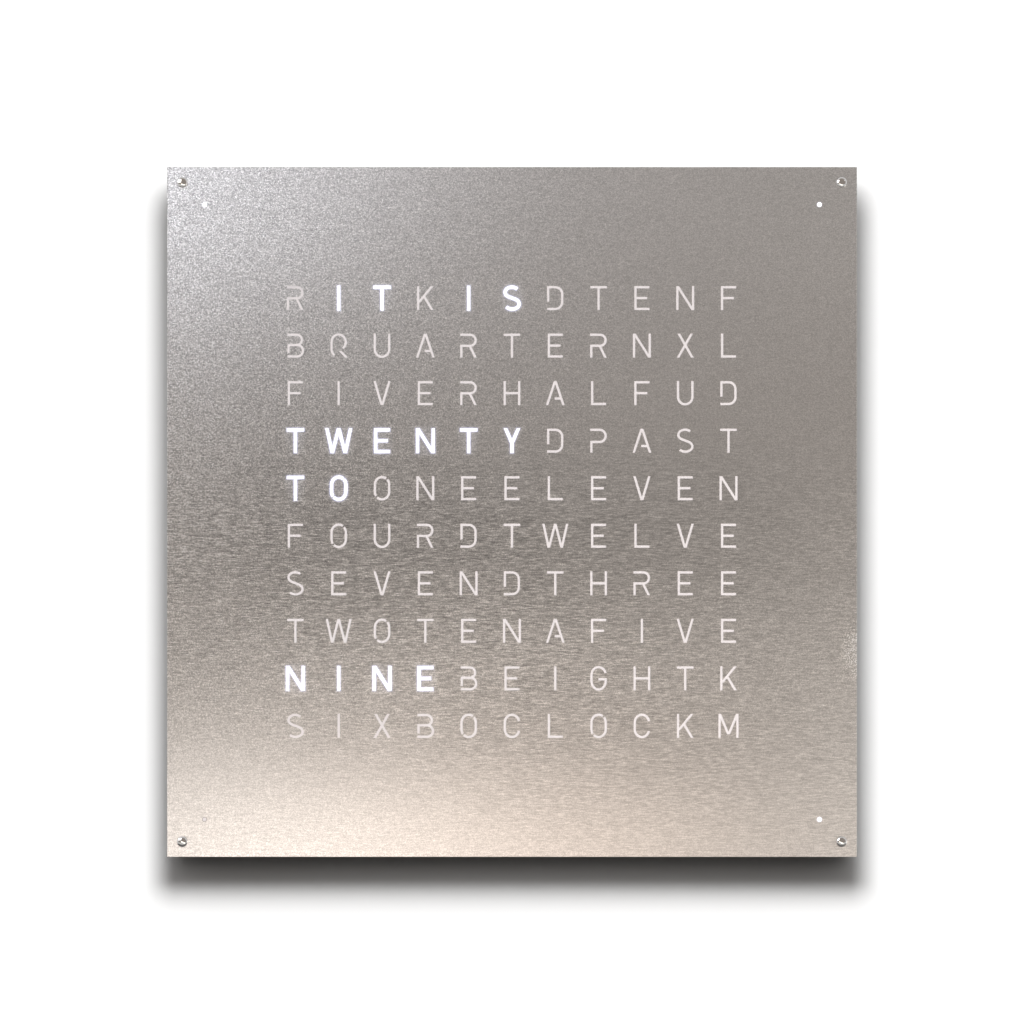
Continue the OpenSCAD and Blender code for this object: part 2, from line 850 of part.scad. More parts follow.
// Round body, threaded neck through the tray's end wall, and the bore that takes the plug
module dc_jack() {
  bore_end = jack_face + jack_bore_l;
  color([0.11, 0.11, 0.12]) difference() {
    union() {
      post(0, -jack_y, jack_neck_d, jack_face, pocket_top + pocket_t);
      post(0, -jack_y, jack_d, pocket_top + pocket_t, jack_end);
    }
    post(0, -jack_y, jack_bore_d, jack_face - cut, bore_end);
  }
}

// Centre pin and the two soldering tabs
module jack_contacts() {
  pin_base = jack_face + jack_bore_l;
  pin_l = 9.8;
  tip = 0.4;
  color(nickel) {
    post(0, -jack_y, jack_pin_d, pin_base - pin_l + tip, pin_base);
    translate([0, -jack_y, pin_base - pin_l]) cylinder(d1 = jack_pin_d - 2 * tip, d2 = jack_pin_d, h = tip);
    for (tab = [[-tab_x, high_run], [tab_x, low_run]])
      block([tab[0] - tab_w / 2, -tab_y - tab_t / 2, jack_end],
            [tab[0] + tab_w / 2, -tab_y + tab_t / 2, tab[1]]);
  }
}

module jack_nut() {
  high = pocket_top;
  across = nut_af / cos(30);
  color(nickel) difference() {
    translate([0, -jack_y, high - nut_t]) cylinder(d = across, h = nut_t, $fn = 6);
    post(0, -jack_y, jack_neck_d + 2 * seat_gap, high - nut_t - cut, high + cut);
  }
}

// Terminal block on the controller board's upper edge
module jack_terminal() {
  screw_pit = 3;
  color([0.1, 0.28, 0.2]) difference() {
    block([terminal_x - terminal_w / 2, board_front - terminal_d, controller_top - terminal_h],
          [terminal_x + terminal_w / 2, board_front, controller_top]);
    for (side = [-1, 1])
      rod(terminal_x + side * terminal_pitch / 2, controller_top - terminal_h / 2, screw_pit,
          board_front - terminal_d - cut, board_front - terminal_d + 1);
  }
}

// A lead from (start, z) along X, round an elbow and down into the terminal block
module jack_lead(start, z, end) {
  post_low = controller_top;
  translate([start, -tab_y, z]) rotate([0, 90, 0]) cylinder(d = lead_d, h = end - elbow_r - start);
  translate([end - elbow_r, -tab_y, z - elbow_r]) rotate([90, 0, 0])
    rotate_extrude(angle = 90) translate([elbow_r, 0]) circle(d = lead_d, $fn = 24);
  post(end, -tab_y, lead_d, post_low, z - elbow_r);
}

module jack_leads() {
  color([0.7, 0.1, 0.1])
    jack_lead(-tab_x + tab_w / 2, high_run - lead_d / 2, terminal_x + terminal_pitch / 2);
  color(black)
    jack_lead(tab_x + tab_w / 2, low_run - lead_d / 2, terminal_x - terminal_pitch / 2);
}

// ---- Minute lights ----

module corner_boards() {
  color(board_green) quadrants() slab(board_front, board_rear)
    translate([minute_x, minute_z]) difference() {
      square([corner_board_w, corner_board_h], center = true);
      for (side = [-1, 1]) translate([side * corner_screw_x, 0])
        circle(d = corner_screw_d + 2 * screw_gap);
    }
}

module corner_leds() {
  color(opal) quadrants()
    slab(board_front - led_h, board_front) translate([minute_x, minute_z])
      square(corner_led_w, center = true);
}

module corner_sockets() {
  color([0.85, 0.83, 0.76]) {
    quadrants() slab(board_rear, board_rear + socket_h)
      translate([minute_x, minute_z]) square(corner_socket, center = true);
    slab(board_rear, board_rear + socket_h)
      translate([controller_x + controller_w - corner_socket / 2, -minute_z])
        square(corner_socket, center = true);
  }
}

module corner_screws() {
  color(nickel) quadrants() for (side = [-1, 1]) {
    x = minute_x + side * corner_screw_x;
    rod(x, minute_z, corner_screw_head, board_rear, board_rear + corner_head_h);
    rod(x, minute_z, corner_screw_d, board_front - corner_bite, board_rear);
  }
}

// Three cores side by side, centred on the origin, along Z from low to high
module cores(low, high) {
  for (k = [-1:1]) post(k * core_pitch, 0, core_d, low, high);
}

// The lead from the controller round the clock, from one corner board to the next
module corner_leads() {
  side_l = minute_z - corner_socket / 2;
  top_l = minute_x - corner_socket / 2;
  start = controller_x + controller_w;
  color([0.15, 0.15, 0.16]) {
    for (side = [-1, 1]) translate([side * minute_x, lead_y, 0]) cores(-side_l, side_l);
    translate([0, lead_y, minute_z]) rotate([0, 90, 0]) cores(-top_l, top_l);
    translate([0, lead_y, -minute_z]) rotate([0, 90, 0]) cores(start, top_l);
  }
}

faceplate();
cover_studs();
keeper_washers();
diffuser_sheet();
minute_lenses();
housing_frame();
ring_magnets();
rear_cover();
rear_cover_screws();
wall_bumpers();
light_grid();
grid_screws();
led_board();
leds();
controller_board();
controller_screws();
controller_chips();
cell_holder();
coin_cell();
ribbon_sockets();
ribbon_cable();
switch_bodies();
button_mode();
button_hour();
button_minute();
jack_pocket();
dc_jack();
jack_contacts();
jack_nut();
jack_terminal();
jack_leads();
corner_boards();
corner_leds();
corner_sockets();
corner_screws();
corner_leads();
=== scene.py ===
"""Looks of the word clock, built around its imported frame. Metres; the clock faces -Y and +Z is up."""

import math

import bmesh
import bpy
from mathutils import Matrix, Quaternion, Vector
from mathutils.geometry import delaunay_2d_cdt


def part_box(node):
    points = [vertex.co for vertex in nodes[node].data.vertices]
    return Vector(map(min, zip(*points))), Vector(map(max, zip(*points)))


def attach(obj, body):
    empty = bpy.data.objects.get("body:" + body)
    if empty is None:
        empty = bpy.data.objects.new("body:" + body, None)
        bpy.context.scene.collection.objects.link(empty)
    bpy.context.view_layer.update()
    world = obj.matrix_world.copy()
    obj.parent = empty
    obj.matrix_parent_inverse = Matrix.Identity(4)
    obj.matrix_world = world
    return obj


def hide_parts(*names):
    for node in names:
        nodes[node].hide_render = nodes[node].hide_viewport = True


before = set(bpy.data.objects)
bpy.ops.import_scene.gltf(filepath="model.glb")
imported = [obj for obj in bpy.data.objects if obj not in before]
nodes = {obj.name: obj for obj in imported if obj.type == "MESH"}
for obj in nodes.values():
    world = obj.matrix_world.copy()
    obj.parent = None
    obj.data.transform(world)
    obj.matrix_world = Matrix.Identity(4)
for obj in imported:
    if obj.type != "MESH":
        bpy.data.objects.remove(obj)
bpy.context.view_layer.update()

MM = 0.001

# The plate, from the frame
plate_low, plate_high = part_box("faceplate")
PLATE_HALF = plate_high.x
PLATE_FRONT = plate_low.y
PLATE_REAR = plate_high.y
EDGE_BEVEL = 0.25 * MM
STUD_INSET = 10 * MM
STUD_PIN_R = 2 * MM
MINUTE_INSET = 24.5 * MM
MINUTE_R = 1.5 * MM
STUD_AT = PLATE_HALF - STUD_INSET  # a stud's place, across and up from the middle
MINUTE_AT = PLATE_HALF - MINUTE_INSET
CORNERS = [(sx, sz) for sx in (-1, 1) for sz in (-1, 1)]

# The letter field
WORDS = (
    "RITKISDTENF",
    "BQUARTERNXL",
    "FIVERHALFUD",
    "TWENTYDPAST",
    "TOONEELEVEN",
    "FOURDTWELVE",
    "SEVENDTHREE",
    "TWOTENAFIVE",
    "NINEBEIGHTK",
    "SIXBOCLOCKM",
)
CELLS = [(row, column) for row in range(len(WORDS)) for column in range(len(WORDS[row]))]
LIT_WORDS = ((0, 1, 2), (0, 4, 2), (3, 0, 6), (4, 0, 2), (8, 0, 4))  # row, first column, letters
LIT_MINUTES = ((-1, 1), (1, 1), (1, -1))  # sides of the clock, as (x, z)
FIELD_INSET_X = 69.625 * MM
FIELD_INSET_Z = 70 * MM
COLUMN_PITCH = (2 * PLATE_HALF - 2 * FIELD_INSET_X) / len(WORDS[0])
ROW_PITCH = (2 * PLATE_HALF - 2 * FIELD_INSET_Z) / len(WORDS)
CAP = 15.8  # height of a capital, in millimetres, as all sizes inside a letter are
STROKE = 1.65
OVERSHOOT = 0.2  # how far round letters pass the lines that flat ones keep to
FILL_RECESS = 0.2 * MM  # how far behind the plate's face the fillings end
GLOW_LOOPS = (0.6, 1.4)  # loops of points round a lit stroke, in millimetres out from its edge
GLOW_END = 3.6  # where its glow on the steel has faded out
MINUTE_FADE = 4  # how much sooner a minute light's glow fades


# ---- Letter outlines, as polygons in millimetres about the middle of a letter's foot ----

HALF = STROKE / 2
TOP = CAP - HALF  # middle of a stroke along the top
BASE = HALF
ARC_STEPS = 14
CIRCLE_STEPS = 40
MITRE = 0.5  # least cosine that a corner's reach is divided by, so that sharp corners stay short


def rect(x0, z0, x1, z1):
    return [(x0, z0), (x1, z0), (x1, z1), (x0, z1)]


def stem(x, z0=0.0, z1=CAP):
    """Upright stroke centred on x."""
    return rect(x - HALF, z0, x + HALF, z1)


def arm(x0, x1, z):
    """Level stroke centred on z."""
    return rect(x0, z - HALF, x1, z + HALF)


def slope(x0, x1, z0=0.0, z1=CAP):
    """Slanting stroke from (x0, z0) to (x1, z1), cut level at both ends."""
    half = HALF * math.hypot(1, (x1 - x0) / (z1 - z0))
    return [(x0 - half, z0), (x0 + half, z0), (x1 + half, z1), (x1 - half, z1)]


def arc(x, z, rx, rz, start, end):
    """Points on an ellipse, from one angle in degrees to another."""
    turns = [math.radians(start + (end - start) * i / ARC_STEPS) for i in range(ARC_STEPS + 1)]
    return [(x + rx * math.cos(a), z + rz * math.sin(a)) for a in turns]


def ribbon(points, half=HALF):
    """Outline of a stroke along points, cut square at both ends."""
    left, right = [], []
    for i, point in enumerate(points):
        here = Vector(point)
        before = (here - Vector(points[i - 1])).normalized() if i else None
        after = (Vector(points[i + 1]) - here).normalized() if i + 1 < len(points) else None
        along = ((before or after) + (after or before)).normalized()
        normal = Vector((-along.y, along.x))
        reach = half / max(MITRE, along.dot(before or after))
        left.append(tuple(here + normal * reach))
        right.append(tuple(here - normal * reach))
    return right + left[::-1]


def bowl(x0, x, low, high):
    """Arm, half round and arm, as on the right of B, P and R."""
    r = (high - low) / 2
    return ribbon([(x0, high)] + arc(x, low + r, r, r, 90, -90) + [(x0, low)])


ROUND_RX = 4.65  # radii of the curves of tall round letters, along the middle of the stroke
ROUND_RZ = 5.0
ROUND_TOP = TOP + OVERSHOOT - ROUND_RZ
ROUND_LOW = BASE - OVERSHOOT + ROUND_RZ


def round_letter(start, end):
    """Part of a tall round letter, anticlockwise, from start to end in degrees from the right."""
    points = arc(0, ROUND_TOP, ROUND_RX, ROUND_RZ, start, min(end, 180))
    if end > 180:
        points += arc(0, ROUND_LOW, ROUND_RX, ROUND_RZ, 180, end)
    return ribbon(points)


def letter_o():
    gap = 5.4  # half of each break, in degrees
    upper, lower = 48, 221  # where the breaks are
    right = arc(0, ROUND_LOW, ROUND_RX, ROUND_RZ, lower + gap, 360)
    right += arc(0, ROUND_TOP, ROUND_RX, ROUND_RZ, 0, upper - gap)
    return [round_letter(upper + gap, lower - gap), ribbon(right)]


def letter_s():
    points = arc(-0.1, 11.73, 4.4, 3.35, 40, 246) + arc(0.1, 4.1, 4.6, 3.4, 64, -142)
    return [ribbon(points)]


def letter_d():
    x, r, left = 4.5, 4.4, -5.45
    lower = arc(x - r, BASE + r, r, r, -90, 0)
    upper = arc(x - r, TOP - r, r, r, 0, 90)
    return [ribbon([(left, BASE)] + lower + upper + [(left, TOP)]), stem(left + HALF, 5.5)]


def letter_u():
    rx, rz = 4.7, 4.9
    low = arc(0, BASE - OVERSHOOT + rz, rx, rz, 180, 360)
    return [ribbon([(-rx, CAP)] + low + [(rx, CAP)])]


def letter_b():
    left, waist = -5.3, 8.3
    return [bowl(left, 0.9, waist, TOP), bowl(left, 1.2, BASE, waist), stem(left + HALF, 2.9, waist)]


def letter_g():
    bar, deeper = 7.3, 0.6
    lower = arc(0, ROUND_LOW + deeper, ROUND_RX, ROUND_RZ + deeper, 180, 360)
    points = arc(0, ROUND_TOP, ROUND_RX, ROUND_RZ, 12, 180) + lower + [(ROUND_RX, bar + HALF)]
    return [ribbon(points), arm(-0.2, ROUND_RX, bar)]


LETTERS = {
    "A": [slope(-5.37, -0.12), slope(5.37, 0.12), arm(-0.5, 3.9, 4.4)],
    "B": letter_b(),
    "C": [round_letter(9, 349)],
    "D": letter_d(),
    "E": [stem(-5 + HALF), arm(-5, 5, TOP), arm(-5, 3.5, CAP / 2), arm(-5, 5, BASE)],
    "F": [stem(-5.05 + HALF), arm(-5.05, 5.05, TOP), arm(-5.05, 3.55, CAP / 2)],
    "G": letter_g(),
    "H": [stem(-4.72), stem(4.72), arm(-4.72, 4.72, CAP / 2)],
    "I": [stem(0)],
    "K": [stem(-4.68), slope(-4.3, 4.5, 5.0), slope(4.6, -0.9, 0, 9.2)],
    "L": [stem(-5 + HALF), arm(-5, 5, BASE)],
    "M": [stem(-5.83), stem(5.83), slope(-0.05, -5.7, 2.3), slope(0.05, 5.7, 2.3)],
    "N": [stem(-5.12), stem(5.12), slope(5.0, -5.0)],
    "O": letter_o(),
    "P": [bowl(-5.5, 0.65, 7.05, TOP), stem(-5.5 + HALF, 0, 7.05)],
    "Q": [round_letter(-56, 234), slope(5.2, 0.9, 0, 4.6)],
    "R": [bowl(-5.6, 1.0, 7.8, TOP), stem(-5.6 + HALF, 0, 7.8), slope(4.5, 0.7, 0, 7.8)],
    "S": letter_s(),
    "T": [arm(-5.5, 5.5, TOP), stem(0)],
    "U": letter_u(),
    "V": [slope(-0.15, -4.85), slope(0.15, 4.85)],
    "W": [slope(-4.27, -7.75), slope(-4.15, -0.05), slope(4.15, 0.05), slope(4.27, 7.75)],
    "X": [slope(-4.7, 4.25), slope(4.7, -4.25)],
    "Y": [stem(0, 0, 7.4), slope(-0.1, -4.2, 6.6), slope(0.1, 4.2, 6.6)],
}


def letter_centre(row, column):
    x = (column - (len(WORDS[0]) - 1) / 2) * COLUMN_PITCH
    z = ((len(WORDS) - 1) / 2 - row) * ROW_PITCH
    return x, z


def is_lit(row, column):
    return any(row == r and first <= column < first + count for r, first, count in LIT_WORDS)


def placed(polygon, row, column):
    """A letter's polygon on the plate, in metres."""
    x, z = letter_centre(row, column)
    return [(x + px * MM, z + (pz - CAP / 2) * MM) for px, pz in polygon]


def circle(x, z, r, steps=CIRCLE_STEPS):
    turns = [2 * math.pi * i / steps for i in range(steps)]
    return [(x + r * math.cos(a), z + r * math.sin(a)) for a in turns]


def grown(polygon, reach):
    """A convex or nearly straight polygon moved outwards by reach, with its corners kept."""
    count = len(polygon)
    points = []
    for i in range(count):
        here = Vector(polygon[i])
        before = (here - Vector(polygon[i - 1])).normalized()
        after = (Vector(polygon[(i + 1) % count]) - here).normalized()
        along = (before + after).normalized()
        normal = Vector((along.y, -along.x))
        points.append(tuple(here + normal * reach / max(MITRE, along.dot(before))))
    return points


def sides_of(polygon):
    """Neighbouring points in pairs, once round."""
    return list(zip(polygon, polygon[1:] + polygon[:1]))


def signed_area(polygon):
    return sum(a[0] * b[1] - b[0] * a[1] for a, b in sides_of(polygon)) / 2


def anticlockwise(polygon):
    return polygon if signed_area(polygon) > 0 else polygon[::-1]


def glow_frame(row, column):
    """Rectangle round a letter, where its glow has faded out."""
    points = [p for polygon in LETTERS[WORDS[row][column]] for p in placed(polygon, row, column)]
    xs, zs = [p[0] for p in points], [p[1] for p in points]
    reach = GLOW_END * MM
    return rect(min(xs) - reach, min(zs) - reach, max(xs) + reach, max(zs) + reach)


# ---- The plate, cut once into steel, letters and holes ----

STEEL, PLAIN, LIT, HOLE = "steel", "plain", "lit", "hole"
INSIDE_TRIANGLES = 1  # the kind of triangulation that keeps only what lies within some outline
CUT_TOLERANCE = 1e-5  # in millimetres


def corner_shapes():
    """Outlines of the holes in the plate's corners, with loops round the lit ones."""
    shapes = []
    for sx, sz in CORNERS:
        x, z = sx * MINUTE_AT, sz * MINUTE_AT
        shapes.append((HOLE, circle(sx * STUD_AT, sz * STUD_AT, STUD_PIN_R)))
        shapes.append((HOLE, circle(x, z, MINUTE_R)))
        if (sx, sz) in LIT_MINUTES:
            for reach in (*GLOW_LOOPS, GLOW_END):
                shapes.append((STEEL, circle(x, z, MINUTE_R + reach / MINUTE_FADE * MM)))
    return shapes


def letter_shapes(row, column):
    """Outlines of one letter, with loops round it where it is lit."""
    kind = LIT if is_lit(row, column) else PLAIN
    shapes = []
    for polygon in LETTERS[WORDS[row][column]]:
        polygon = anticlockwise(placed(polygon, row, column))
        shapes.append((kind, polygon))
        if kind == LIT:
            shapes += [(STEEL, grown(polygon, reach * MM)) for reach in GLOW_LOOPS]
    if kind == LIT:
        shapes.append((STEEL, glow_frame(row, column)))
    return shapes


def cut_plate():
    """Triangles of the plate's face: points, and faces with what each one is."""
    edge = PLATE_HALF - EDGE_BEVEL
    shapes = [(STEEL, rect(-edge, -edge, edge, edge))] + corner_shapes()
    for row, column in CELLS:
        shapes += letter_shapes(row, column)
    points, rings = [], []
    for _, polygon in shapes:
        rings.append(list(range(len(points), len(points) + len(polygon))))
        points += [Vector(p) / MM for p in anticlockwise(polygon)]
    cut = delaunay_2d_cdt(points, [], rings, INSIDE_TRIANGLES, CUT_TOLERANCE)
    out_points, _, faces, _, _, sources = cut
    kinds = []
    for source in sources:
        inside = {shapes[i][0] for i in source}
        kinds.append(next(kind for kind in (HOLE, LIT, PLAIN, STEEL) if kind in inside))
    return [(p.x * MM, p.y * MM) for p in out_points], list(zip(faces, kinds))


# ---- How far the steel is from the nearest lit stroke, for its glow ----

GLOW_LAYER = "lit_distance"
NO_GLOW = 2 * GLOW_END * MM  # a distance past all glow
GLOW_BOX = 14 * MM  # past this, across or up from its centre, a lit letter gives no glow
SHORTEST_SQUARED = 1e-18  # keeps a side without length from dividing by nothing


def distance_to_side(point, start, end):
    start = Vector(start)
    side = Vector(end) - start
    share = (point - start).dot(side) / max(side.length_squared, SHORTEST_SQUARED)
    return (point - start - side * max(0.0, min(1.0, share))).length


def lit_distance():
    """Function that gives the distance from a point to the nearest lit stroke's edge."""
    strokes = []
    for row, column in CELLS:
        if is_lit(row, column):
            for polygon in LETTERS[WORDS[row][column]]:
                strokes.append((letter_centre(row, column), sides_of(placed(polygon, row, column))))
    dots = [Vector((sx * MINUTE_AT, sz * MINUTE_AT)) for sx, sz in LIT_MINUTES]

    def distance(x, z):
        point = Vector((x, z))
        best = NO_GLOW
        for dot in dots:
            best = min(best, max(0.0, (point - dot).length - MINUTE_R) * MINUTE_FADE)
        for centre, sides in strokes:
            if abs(x - centre[0]) < GLOW_BOX and abs(z - centre[1]) < GLOW_BOX:
                best = min([best] + [distance_to_side(point, a, b) for a, b in sides])
        return best

    return distance


# ---- Meshes ----

GRAIN_UV = "grain"
BORDER_TOLERANCE = 1e-6  # how close to the border's line a point of the border lies, in metres
SIDEWAYS = 0.9  # least part of a border face's normal that looks out of the plate's side


def mesh_object(name, bm, material):
    mesh = bpy.data.meshes.new(name)
    bm.to_mesh(mesh)
    bm.free()
    mesh.materials.append(material)
    piece = bpy.data.objects.new(name, mesh)
    bpy.context.scene.collection.objects.link(piece)
    return piece


def new_piece(name, bm, material, body, replaces=(), smooth=False):
    """Piece of the clock from a bmesh, riding on its body."""
    bmesh.ops.recalc_face_normals(bm, faces=bm.faces)
    for face in bm.faces:
        face.smooth = smooth
    piece = mesh_object(name, bm, material)
    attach(piece, body)
    if replaces:
        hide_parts(*replaces)
    return piece


def slab_from(points, faces, wanted, front, rear):
    """Closed solid of the wanted faces, between two depths."""
    bm = bmesh.new()
    made = {}

    def vertex(index, y):
        key = (index, y)
        if key not in made:
            made[key] = bm.verts.new((points[index][0], y, points[index][1]))
        return made[key]

    sides = {}
    for face, kind in faces:
        if kind == wanted:
            # Anticlockwise in the plane's x and z makes a face that looks along -Y
            bm.faces.new([vertex(i, front) for i in face])
            bm.faces.new([vertex(i, rear) for i in reversed(face)])
            sides.update(dict.fromkeys(sides_of(face)))
    for a, b in sides:
        if (b, a) not in sides:
            bm.faces.new([vertex(b, front), vertex(a, front), vertex(a, rear), vertex(b, rear)])
    return bm


def bevel_border(bm):
    """Turns the plate's square border into chamfers out to its full size."""
    inner = PLATE_HALF - EDGE_BEVEL

    def on_border(co, axis):
        return abs(abs(co[axis]) - inner) < BORDER_TOLERANCE

    for face in list(bm.faces):
        for axis in (0, 2):
            if all(on_border(v.co, axis) for v in face.verts) and abs(face.normal[axis]) > SIDEWAYS:
                bm.faces.remove(face)
                break
    inner_corners = {}
    for v in bm.verts:
        if on_border(v.co, 0) and on_border(v.co, 2):
            at_front = v.co.y < (PLATE_FRONT + PLATE_REAR) / 2
            inner_corners[(v.co.x > 0, v.co.z > 0, at_front)] = v
    rings = []
    for y in (PLATE_FRONT + EDGE_BEVEL, PLATE_REAR - EDGE_BEVEL):
        outline = rect(-PLATE_HALF, -PLATE_HALF, PLATE_HALF, PLATE_HALF)
        rings.append([bm.verts.new((x, y, z)) for x, z in outline])
    order = [(False, False), (True, False), (True, True), (False, True)]  # as rect gives its corners
    front, rear = rings
    for i, here in enumerate(order):
        j = (i + 1) % len(order)
        there = order[j]
        bm.faces.new([inner_corners[(*there, True)], inner_corners[(*here, True)], front[i], front[j]])
        bm.faces.new([front[j], front[i], rear[i], rear[j]])
        bm.faces.new([rear[j], rear[i], inner_corners[(*here, False)], inner_corners[(*there, False)]])


def flat_uv(bm):
    """UVs in metres along X and Z, so that the grain runs along X."""
    layer = bm.loops.layers.uv.new(GRAIN_UV)
    for face in bm.faces:
        for loop in face.loops:
            loop[layer].uv = (loop.vert.co.x + loop.vert.co.y, loop.vert.co.z - loop.vert.co.y)


# ---- Shader nodes ----

NOISE_RANGE = (0.3, 0.7)  # where nearly all of a noise's values lie


def new_material(name):
    material = bpy.data.materials.new(name)
    material.use_nodes = True
    tree = material.node_tree
    return material, tree, tree.nodes["Principled BSDF"]


def add(tree, kind, **values):
    """A node, with its properties and its unlinked sockets set by name."""
    node = tree.nodes.new(kind)
    for key, value in values.items():
        if hasattr(node, key):
            setattr(node, key, value)
        else:
            node.inputs[key.replace("_", " ")].default_value = value
    return node


def noise(tree, scale, detail):
    """Noise in object space, stretched by a scale for each axis."""
    place = add(tree, "ShaderNodeTexCoord")
    stretch = add(tree, "ShaderNodeVectorMath", operation="MULTIPLY")
    stretch.inputs[1].default_value = scale
    texture = add(tree, "ShaderNodeTexNoise", Scale=1.0, Detail=detail)
    tree.links.new(place.outputs["Object"], stretch.inputs[0])
    tree.links.new(stretch.outputs[0], texture.inputs["Vector"])
    return texture.outputs["Fac"]


def remap(tree, value, low, high, to_low, to_high, kind="LINEAR"):
    """A value that goes from to_low to to_high while another goes from low to high, and stays there."""
    node = add(tree, "ShaderNodeMapRange", interpolation_type=kind)
    tree.links.new(value, node.inputs["Value"])
    for socket, number in (("From Min", low), ("From Max", high), ("To Min", to_low), ("To Max", to_high)):
        node.inputs[socket].default_value = number
    return node.outputs["Result"]


def math_node(tree, operation, a, b):
    node = add(tree, "ShaderNodeMath", operation=operation)
    for i, item in enumerate((a, b)):
        if isinstance(item, (int, float)):
            node.inputs[i].default_value = item
        else:
            tree.links.new(item, node.inputs[i])
    return node.outputs[0]


def times(tree, a, b):
    return math_node(tree, "MULTIPLY", a, b)


def plus(tree, a, b):
    return math_node(tree, "ADD", a, b)


def minus(tree, a, b):
    return math_node(tree, "SUBTRACT", a, b)


def band(tree, value, low, peak, high):
    """Smooth rise from nothing at low to one at peak, and back to nothing at high."""
    rise = remap(tree, value, low, peak, 0.0, 1.0, "SMOOTHSTEP")
    fall = remap(tree, value, peak, high, 1.0, 0.0, "SMOOTHSTEP")
    return times(tree, rise, fall)


def shade(tree, colour, factor, shader):
    """Sets the shader's colour to a colour times a varying factor."""
    tint = add(tree, "ShaderNodeVectorMath", operation="SCALE")
    tint.inputs[0].default_value = colour
    tree.links.new(factor, tint.inputs["Scale"])
    tree.links.new(tint.outputs[0], shader.inputs["Base Color"])


def bump(tree, height, strength, distance, shader):
    node = add(tree, "ShaderNodeBump", Strength=strength, Distance=distance)
    tree.links.new(height, node.inputs["Height"])
    tree.links.new(node.outputs[0], shader.inputs["Normal"])


# ---- Moulded, coated and plated surfaces ----

CLOUD_STEP = 30  # how much coarser than the grain the cloud over it is
GRAIN_PART, CLOUD_PART = 0.6, 0.4
GLOSS_VARY = 0.12
GRAIN_DEPTH = 0.05 * MM


def plain_material(name, colour, roughness, metallic=0.0, grain=900.0, vary=0.12, relief=0.15, **sockets):
    """Surface with a fine grain, set per metre, in its colour, gloss and relief."""
    material, tree, shader = new_material(name)
    shader.inputs["Metallic"].default_value = metallic
    for socket, value in sockets.items():
        shader.inputs[socket.replace("_", " ")].default_value = value
    fine = noise(tree, (grain,) * 3, detail=3.0)
    cloud = noise(tree, (grain / CLOUD_STEP,) * 3, detail=2.0)
    mixed = plus(tree, times(tree, fine, GRAIN_PART), times(tree, cloud, CLOUD_PART))
    shade(tree, colour, remap(tree, mixed, *NOISE_RANGE, 1 - vary, 1 + vary), shader)
    rougher = min(1.0, roughness * (1 + GLOSS_VARY))
    gloss = remap(tree, mixed, *NOISE_RANGE, roughness * (1 - GLOSS_VARY), rougher)
    tree.links.new(gloss, shader.inputs["Roughness"])
    bump(tree, fine, relief, GRAIN_DEPTH, shader)
    return material


# ---- Brushed steel ----

STEEL_COLOUR = (0.60, 0.585, 0.57)
STEEL_ROUGH = 0.34
STEEL_ANISOTROPY = 0.45
STREAK_RELIEF = 0.1
STREAK_DEPTH = 0.02 * MM

# Patterns, per metre along each axis; along Y the scale puts the face between two layers of the noise
SPECK_SCALE = (1700, 26, 2000)
STREAK_SCALE = (220, 26, 1750)
SPECK_SPREAD = 0.053  # standard deviation of each pattern itself
STREAK_SPREAD = 0.1

# The grain is the steel's own; how strongly it shows at each place over the plate is painted light, following
# where the light glints on it
# Standard deviation of the brightness that each pattern gives, below the plate's middle and above it
SPECKS_LEFT = (0.078, 0.118)
SPECKS_RIGHT = (0.048, 0.036)
STREAK_AMOUNTS = (0.125, 0.025)
SPECKS_MIDDLE = (-0.06, 0.03)  # between which heights the amounts change
STREAKS_MIDDLE = (-0.01, 0.06)
STREAK_SLANT = 0.35  # how much the line where the streaks fade towards the foot climbs to the left

# Fades over the plate: two places in metres, and the share or amount at each
SPECKS_TO_RIGHT = (-0.225, 0.10, 1.0, 0.0)
SPECKS_AT_FOOT = (-0.17, -0.11, 0.6, 1.0)
STREAKS_AT_FOOT = (-0.22, -0.10, 0.25, 1.0)
STREAKS_TO_RIGHT = (0.00, 0.18, 1.0, 0.5)
# The next five: where painted shade and a painted sheen fade over the steel, standing in for how the light
# falls on it
SHADE_AT_LEFT = (-0.215, -0.12, 0.2, 1.0)
SHADE_AT_RIGHT = (0.13, 0.22, 1.0, 0.2)
SHADE_TOP = (0.16, 0.215, 0.0, 0.07)
SHADE_ASIDE = (0.10, 0.19, 0.0, 1.0)
SHEEN_AT_LEFT = (-0.225, -0.16, 0.13, 0.0)
GLINTS_AT_RIGHT = (0.214, 0.2235, 0.0, 0.3)

# Bands across the plate: the heights in metres where each begins, peaks and ends; the darker bands are
# painted shade and the brighter one a painted sheen; BY is how much it darkens
SHADE_MIDDLE = (-0.10, -0.02, 0.08)
SHADE_MIDDLE_BY = 0.12
SHADE_FOOT = (-0.215, -0.15, -0.095)
SHADE_FOOT_BY = 0.09
SHEEN_BAND = (-0.13, 0.04, 0.18)
GLINT_BAND = (-0.115, -0.09, -0.07)

# Glow on the steel, by millimetres from a lit stroke's edge
GLOW_AT_EDGE = (0.9, 0.92, 1)
GLOW_COLOURS = (
    (0.30, (0.44, 0.46, 0.66)),
    (0.60, (0.20, 0.21, 0.32)),
    (1.00, (0.10, 0.10, 0.12)),
    (1.80, (0.045, 0.045, 0.05)),
    (2.60, (0.018, 0.018, 0.02)),
)


def in_deviations(tree, pattern, deviation):
    """A noise as its distance from its mean, in standard deviations."""
    return times(tree, minus(tree, pattern, 0.5), 1 / deviation)


def speck_share(tree, x, z):
    """Strength of the specks, which fade towards the right and the foot: real grain, with its change over the
    plate painted to follow where the light glints on it.
    """
    left = remap(tree, z, *SPECKS_MIDDLE, *SPECKS_LEFT)
    right = remap(tree, z, *SPECKS_MIDDLE, *SPECKS_RIGHT)
    extra = times(tree, minus(tree, left, right), remap(tree, x, *SPECKS_TO_RIGHT))
    return times(tree, plus(tree, right, extra), remap(tree, z, *SPECKS_AT_FOOT))


